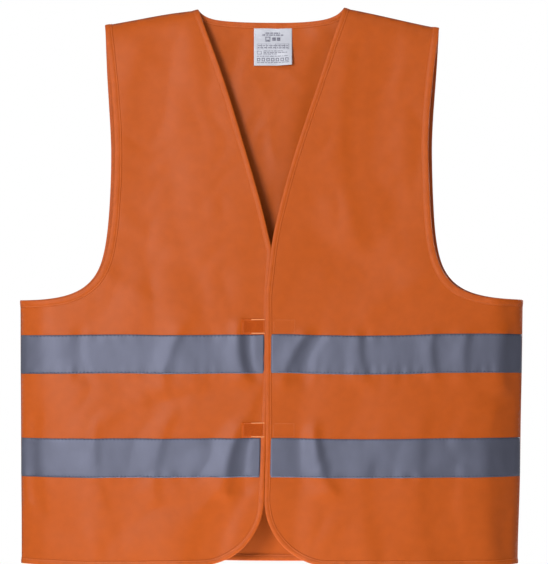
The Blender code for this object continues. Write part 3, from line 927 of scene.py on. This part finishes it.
def add_bands():
    pieces = {BACK: [], "right": [], "left": []}
    for level, top in BAND_TOPS.items():
        half = side_edge(top - BAND_HEIGHT) - 0.4 * MM
        names = [f"back_{level}_band", f"back_{level}_band_stitching"]
        pieces[BACK] += add_band(f"back_{level}_tape", -half, half, top, 0, names)
        for side in (RIGHT, LEFT):
            name = SIDE_NAMES[side]
            under = UNDERLAP if side == RIGHT and level == "upper" else 0
            near = CLOSURE_X + side * (TAPE_WIDTH - 1.0 * MM) + under
            band = f"{name}_front_{level}_band"
            names = [band + end for end in ("", "_flap", "_stitching", "_stitching_flap")]
            pieces[name] += add_band(f"{name}_{level}_tape", near, side * half, top, side, names)
    return pieces


# --- Fasteners ---


def add_patch(side, level, kind, face):
    """face is 1 on the outside of the cloth and -1 on the inside."""
    node = f"{level}_{kind}_patch"
    low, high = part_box(node)
    x, z = np.meshgrid(np.linspace(low.x, high.x, 61), np.linspace(high.z, low.z, 41))
    u, v = np.meshgrid(np.linspace(0, 1, 61), np.linspace(0, 1, 41))
    rim = np.minimum.reduce((u * 30, (1 - u) * 30, v * 20, (1 - v) * 20))
    groove = np.exp(-((rim - 1.6) ** 2) * 2)
    pile = 0.05 * MM * soft_noise(x, z, 0.0018, 5) if kind == "loop" else 0
    thick = 0.35 * MM + 0.5 * MM * smooth(rim) - 0.25 * MM * groove + pile * smooth(rim - 1.5)
    places, _ = on_cloth(x, z, FRONT, side, face * thick)
    uvs = np.stack((x, z), axis=-1).reshape(-1, 2)
    finish = FINISHES[kind + "s"]
    piece = add_mesh(f"{level}_{kind}_tape", places, grid_faces(41, 61, flip=face < 0), finish, uvs)
    thicken(piece, 0.3 * MM)
    on_front(piece, side, kind + "_orange", node)
    made = [piece]
    for outside in (1, -1):
        name = f"{level}_{kind}_{'outer' if outside > 0 else 'inner'}"
        made += patch_stitches(name, side, (low, high), face, outside)
    made.append(add_pile(side, level, kind, (low, high), face))
    return made


def patch_stitches(name, side, box, face, outside):
    """The rectangle of stitches that holds a patch, seen on one face of the cloth."""
    low, high = box
    edge = 1.6 * MM
    corners = [(low.x + edge, high.z - edge), (high.x - edge, high.z - edge)]
    corners += [(high.x - edge, low.z + edge), (low.x + edge, low.z + edge)]
    lines = [straight(a, b, 1 * MM) for a, b in zip(corners, corners[1:] + corners[:1])]
    flat = joined(*lines)
    lift = outside * (0.75 * MM if outside == face else 0.32 * MM)
    places, normals = on_cloth(flat[:, 0], flat[:, 1], FRONT, side, lift)
    finish = FINISHES["orange_thread"]
    made = stitch_mesh(name + "_stitches", places, normals * outside, finish, PATCH_STITCH)
    on_front(made, side, "orange_binding")
    if outside == face:
        return [made, *patch_bars(name, side, box, outside)]
    return [made]


def patch_bars(name, side, box, outside):
    """Close satin stitches along the top and bottom of a patch, at the end next to the closure, in a paler
    thread whose colour is partly a painted highlight.
    """
    low, high = box
    made = []
    near, far = (high.x, low.x) if side == RIGHT else (low.x, high.x)
    for i, z in enumerate((high.z - 1.2 * MM, low.z + 1.2 * MM)):
        flat = straight((near, z), (near + (far - near) * 0.62, z), 0.5 * MM)
        places, normals = on_cloth(flat[:, 0], flat[:, 1], FRONT, side, outside * 0.85 * MM)
        finish = FINISHES["bar_thread"]
        bar = stitch_mesh(f"{name}_bar_{i}", places, normals * outside, finish, BAR_STITCH)
        made.append(on_front(bar, side, "orange_binding"))
    return made


def add_pile(side, level, kind, box, face):
    """The working face of a patch: small bent hooks in rows, or a nap of loose loops."""
    low, high = box
    edge = 3 * MM
    rng = np.random.default_rng(17 if kind == "loop" else 18)
    pitch = 1.05 * MM if kind == "hook" else 0.8 * MM
    columns = np.arange(low.x + edge, high.x - edge, pitch)
    rows = np.arange(low.z + edge, high.z - edge, pitch)
    x, z = (places.ravel() for places in np.meshgrid(columns, rows))
    if kind == "loop":
        x = x + rng.uniform(-0.4, 0.4, x.size) * MM
        z = z + rng.uniform(-0.4, 0.4, z.size) * MM
    turn = rng.uniform(0, 2 * math.pi, x.size) if kind == "loop" else np.zeros(x.size)
    base, up = on_cloth(x, z, FRONT, side, face * 0.85 * MM)
    up = up * face
    lean = np.stack((np.cos(turn), np.zeros(x.size), np.sin(turn)), axis=1)
    beside = np.cross(up, lean)
    size = 0.55 * MM
    angles = np.linspace(0, math.pi * (1.0 if kind == "loop" else 0.8), 6)
    ring = 4
    points, uvs = [], []
    for a in angles:
        centre = base + lean * (size * (0.5 - 0.5 * math.cos(a))) + up * (size * math.sin(a))
        out = -lean * math.cos(a) + up * math.sin(a)
        for i in range(ring):
            t = 2 * math.pi * i / ring
            points.append(centre + 0.09 * MM * (out * math.cos(t) + beside * math.sin(t)))
            uvs.append(np.column_stack((x, z)))
    made = add_threads(f"{level}_{kind}_pile", points, uvs, ring, FINISHES[kind + "s"])
    return on_front(made, side, kind + "_orange")


def add_patches():
    pieces = {"right": [], "left": []}
    for level in BAND_TOPS:
        pieces["right"] += add_patch(RIGHT, level, "loop", 1)
        pieces["left"] += add_patch(LEFT, level, "hook", -1)
    return pieces


# --- Care label ---


def label_box():
    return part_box("care_label")


def label_surface(u, v):
    """Places on the label. u and v run from 0 to 1 from its left edge and from its top."""
    low, high = label_box()
    width, length = high.x - low.x, high.z - low.z + LABEL_TUCK
    x = low.x + width * u
    z = high.z + LABEL_TUCK - length * v
    back, _ = on_cloth(x, z, BACK, 0, -0.45 * MM)
    free = smooth((v - 0.06) / 0.5)
    curl = smooth((u - 0.55) / 0.45) * smooth((v - 0.35) / 0.65)
    bow = 0.8 * MM * np.sin(math.pi * u) * free
    y = back[..., 1] - free * (1.6 * MM + bow) - 5.0 * MM * curl
    return np.stack((x, y, z + 0.8 * MM * curl), axis=-1)


def add_label():
    u, v = np.meshgrid(np.linspace(0, 1, 41), np.linspace(0, 1, 41))
    places = label_surface(u, v)
    uvs = np.stack((u, -v), axis=-1).reshape(-1, 2) * 0.05
    piece = add_mesh("care_label_cloth", places, grid_faces(41, 41, flip=True), FINISHES["satin"], uvs)
    thicken(piece, 0.22 * MM)
    prints = add_label_marks()
    for made in (piece, prints):
        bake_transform(made)
    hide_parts("care_label")
    return piece, prints


# Lines of print: top, height, left and right, as shares of the label.
LABEL_LINES = (
    (0.12, 0.030, 0.30, 0.70),
    (0.17, 0.030, 0.22, 0.80),
    (0.46, 0.022, 0.10, 0.90),
    (0.51, 0.022, 0.10, 0.90),
    (0.60, 0.020, 0.25, 0.75),
    (0.64, 0.020, 0.25, 0.90),
    (0.68, 0.020, 0.25, 0.60),
    (0.74, 0.018, 0.08, 0.90),
    (0.91, 0.018, 0.08, 0.92),
)


def label_marks():
    """Generic printed marks, as (left, top, right, bottom) shares of the label: bars for lines of print."""
    rng = np.random.default_rng(4)
    marks = []

    def words(top, height, left, right):
        at = left
        while at < right - 0.03:
            wide = min(rng.uniform(0.03, 0.11), right - at)
            marks.append((at, top, at + wide, top + height))
            at += wide + 0.02

    def frame_of(left, top, right, bottom, line=0.012):
        marks.extend(((left, top, right, top + line), (left, bottom - line, right, bottom)))
        marks.extend(((left, top, left + line, bottom), (right - line, top, right, bottom)))

    for line in LABEL_LINES:
        words(*line)
    frame_of(0.30, 0.23, 0.43, 0.36, 0.022)
    marks.append((0.33, 0.31, 0.40, 0.36))
    marks.append((0.48, 0.25, 0.57, 0.34))
    marks.append((0.60, 0.25, 0.69, 0.34))
    frame_of(0.08, 0.42, 0.92, 0.56, 0.008)
    for x in np.linspace(0.20, 0.80, 6):
        marks.append((x, 0.42, x + 0.008, 0.56))
    frame_of(0.08, 0.61, 0.20, 0.70)
    for x in np.linspace(0.08, 0.82, 7):
        frame_of(x, 0.795, x + 0.085, 0.885, 0.02)
    return marks


def add_label_marks():
    points, faces = [], []
    for left, top, right, bottom in label_marks():
        u, v = np.meshgrid(np.linspace(left, right, 4), np.linspace(top, bottom, 3))
        first = len(points)
        points += list((label_surface(u, v) + (0, -0.16 * MM, 0)).reshape(-1, 3))
        faces += [tuple(first + i for i in quad) for quad in grid_faces(3, 4, flip=True)]
    uvs = np.zeros((len(points), 2))
    return thicken(add_mesh("care_label_print", np.array(points), faces, FINISHES["ink"], uvs), 0.05 * MM)


# --- Seams ---


def add_seam(name, start, end, inwards, node):
    """An overlocked seam allowance: a narrow strip in the plane of the seams, with thread looped round it."""
    line = straight(start, end, 1.5 * MM)
    into = np.array(inwards, float)
    depths = np.linspace(0.4 * MM, SEAM_ALLOWANCE, 6)
    wave = 0.25 * MM * soft_noise(line[:, 0] + line[:, 1], line[:, 0] * 0, 0.012, 77)
    grid = []
    for depth in depths:
        flat = line + into * depth
        hung_x, hung_z = swayed(flat[:, 0], flat[:, 1])
        grid.append(np.column_stack((hung_x, wave * depth / depths[-1], hung_z)))
    places = np.stack(grid, axis=1)
    uvs = places[..., (0, 2)].reshape(-1, 2)
    piece = add_mesh(name + "_cloth", places, grid_faces(len(line), len(depths)), FINISHES["knit"], uvs)
    thicken(piece, 0.5 * MM)
    on_body(piece, "vest", "orange_binding", node)
    add_overlock(name, line, into, wave)


def add_overlock(name, line, into, wave):
    """Zigzag threads round the edge of a seam allowance."""
    run = distances(line)
    steps = np.arange(0, run[-1], OVERLOCK_STEP)
    x, z, push = (np.interp(steps, run, v) for v in (line[:, 0], line[:, 1], wave))
    reach = np.where(np.arange(len(steps)) % 2 == 0, 2.0 * MM, 5.9 * MM)
    height = np.where(np.arange(len(steps)) % 4 < 2, 0.32 * MM, -0.32 * MM)
    curve = bpy.data.curves.new(name + "_overlock", "CURVE")
    curve.dimensions = "3D"
    curve.bevel_depth = OVERLOCK_RADIUS
    curve.bevel_resolution = 1
    spline = curve.splines.new("POLY")
    spline.points.add(len(steps) - 1)
    hung_x, hung_z = swayed(x + into[0] * reach, z + into[1] * reach)
    places = np.column_stack((hung_x, push + height, hung_z, np.ones(len(steps))))
    spline.points.foreach_set("co", places.ravel())
    curve.materials.append(FINISHES["orange_thread"])
    made = bpy.data.objects.new(name + "_overlock", curve)
    bpy.context.scene.collection.objects.link(made)
    on_body(made, "vest", "orange_binding")


def add_seams():
    for side in (RIGHT, LEFT):
        name = SIDE_NAMES[side]
        top, bottom = UNDERARM_Z - TAPE_WIDTH, TAPE_WIDTH - LENGTH
        start, end = (side * side_edge(top), top), (side * side_edge(bottom), bottom)
        add_seam(name + "_side", start, end, (-side, 0), name + "_side_seam")
        inner, outer = NECK_HALF + TAPE_WIDTH, SHOULDER_HALF - TAPE_WIDTH
        start, end = (side * inner, ridge_z(inner)), (side * outer, ridge_z(outer))
        add_seam(name + "_shoulder", start, end, (0, -1), name + "_shoulder_seam")


# --- Stage ---


def add_floor():
    """A round pale floor, well below the hem and too small to reach into the front view."""
    points = 96
    turns = np.arange(points) * 2 * math.pi / points
    z = np.full(points, -LENGTH - FLOOR_BELOW_HEM)
    rim = np.stack((FLOOR_RADIUS * np.cos(turns), FLOOR_RADIUS * np.sin(turns), z), axis=1)
    finish = Shader("pale_floor", (0.58, 0.58, 0.58), 0.95).material
    floor = add_mesh("floor", rim, [tuple(range(points))], finish)


def add_light(name, place, aim, size, power):
    data = bpy.data.lights.new(name, "AREA")
    data.shape = "DISK"
    data.size = size
    data.energy = power
    light = bpy.data.objects.new(name, data)
    light.location = place
    light.rotation_euler = (Vector(aim) - Vector(place)).to_track_quat("-Z", "Y").to_euler()
    bpy.context.scene.collection.objects.link(light)


def add_world():
    """White all round, but for a darker part to the front and right that gives the folds their shade."""
    world = bpy.data.worlds.new("studio")
    world.use_nodes = True
    tree = world.node_tree
    background = tree.nodes["Background"]
    background.inputs["Color"].default_value = (1, 1, 1, 1)
    direction = tree.nodes.new("ShaderNodeTexCoord").outputs["Generated"]
    towards = tree.nodes.new("ShaderNodeVectorMath")
    towards.operation = "DOT_PRODUCT"
    towards.inputs[1].default_value = Vector(SHADE_DIRECTION).normalized()
    height = tree.nodes.new("ShaderNodeSeparateXYZ")
    tree.links.new(direction, towards.inputs[0])
    tree.links.new(direction, height.inputs[0])
    shaded = []
    for source, start, end in ((towards.outputs["Value"], 0.15, 0.65), (height.outputs["Z"], -0.01, 0.10)):
        ramp = tree.nodes.new("ShaderNodeMapRange")
        ramp.interpolation_type = "SMOOTHSTEP"
        ramp.inputs["From Min"].default_value = start
        ramp.inputs["From Max"].default_value = end
        tree.links.new(source, ramp.inputs["Value"])
        shaded.append(ramp.outputs["Result"])
    both = tree.nodes.new("ShaderNodeMath")
    both.operation = "MULTIPLY"
    strength = tree.nodes.new("ShaderNodeMapRange")
    strength.inputs["To Min"].default_value = 1.0
    strength.inputs["To Max"].default_value = SHADE_STRENGTH
    for source, socket in zip(shaded, both.inputs):
        tree.links.new(source, socket)
    tree.links.new(both.outputs[0], strength.inputs["Value"])
    tree.links.new(strength.outputs["Result"], background.inputs["Strength"])
    bpy.context.scene.world = world


def add_camera():
    """Straight on from the front, far enough away that the vest looks flat."""
    data = bpy.data.cameras.new("camera")
    data.lens = 135
    data.sensor_width = 36
    distance = VIEW_HEIGHT / 2 * data.lens / (data.sensor_width / 2)
    camera = bpy.data.objects.new("camera", data)
    camera.location = Vector(VIEW_CENTRE) + Vector((0, -distance, 0))
    camera.rotation_euler = (math.pi / 2, 0, 0)
    bpy.context.scene.collection.objects.link(camera)
    bpy.context.scene.camera = camera


def set_view():
    bpy.context.scene.view_settings.view_transform = "Standard"
    bpy.context.scene.view_settings.look = "None"


# --- The vest ---

add_camera()
add_world()
set_view()
add_floor()
for light in LIGHTS:
    add_light(*light)
panels = add_panels()
add_tapes()
bands = add_bands()
patches = add_patches()
label, label_prints = add_label()
add_seams()
